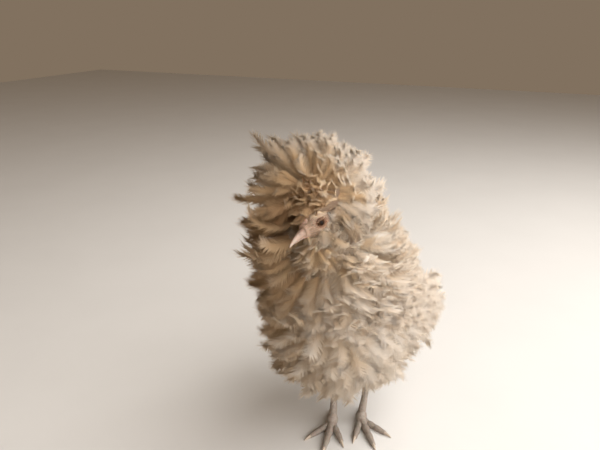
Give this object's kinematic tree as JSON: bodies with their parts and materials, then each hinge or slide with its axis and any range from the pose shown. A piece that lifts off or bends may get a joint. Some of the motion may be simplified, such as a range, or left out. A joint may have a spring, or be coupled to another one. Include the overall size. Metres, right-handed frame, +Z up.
{
  "type": "frizzle crested chicken",
  "caption": "Standing life-size crested and bearded hen with outward-curling feathers, head turned to her right, short tail and bare shanks.",
  "frame": {"origin": "middle of the model's bounding box seen from above, at the level of the floor under the toes", "axes": "+Z up, the hen faces -Y, her left side is towards +X"},
  "size_m": [0.2336, 0.35, 0.4517],
  "materials": {
    "beak": "horn",
    "claw": "horn",
    "comb": "bare skin",
    "eye": "wet, dark brown",
    "face": "bare skin",
    "feather": "soft curled feathers",
    "leg": "scaly skin"
  },
  "bodies": {
    "root": {"beak_lower": "beak", "beak_upper": "beak", "beard": "feather", "claw_hind_left": "claw", "claw_hind_right": "claw", "claw_inner_left": "claw", "claw_inner_right": "claw", "claw_middle_left": "claw", "claw_middle_right": "claw", "claw_outer_left": "claw", "claw_outer_right": "claw", "comb": "comb", "crest": "feather", "eye_left": "eye", "eye_right": "eye", "foot_left": "leg", "foot_right": "leg", "head": "face", "neck": "feather", "shank_left": "leg", "shank_right": "leg", "tail": "feather", "thigh_left": "feather", "thigh_right": "feather", "torso": "feather", "wing_left": "feather", "wing_right": "feather"}
  },
  "joints": []
}
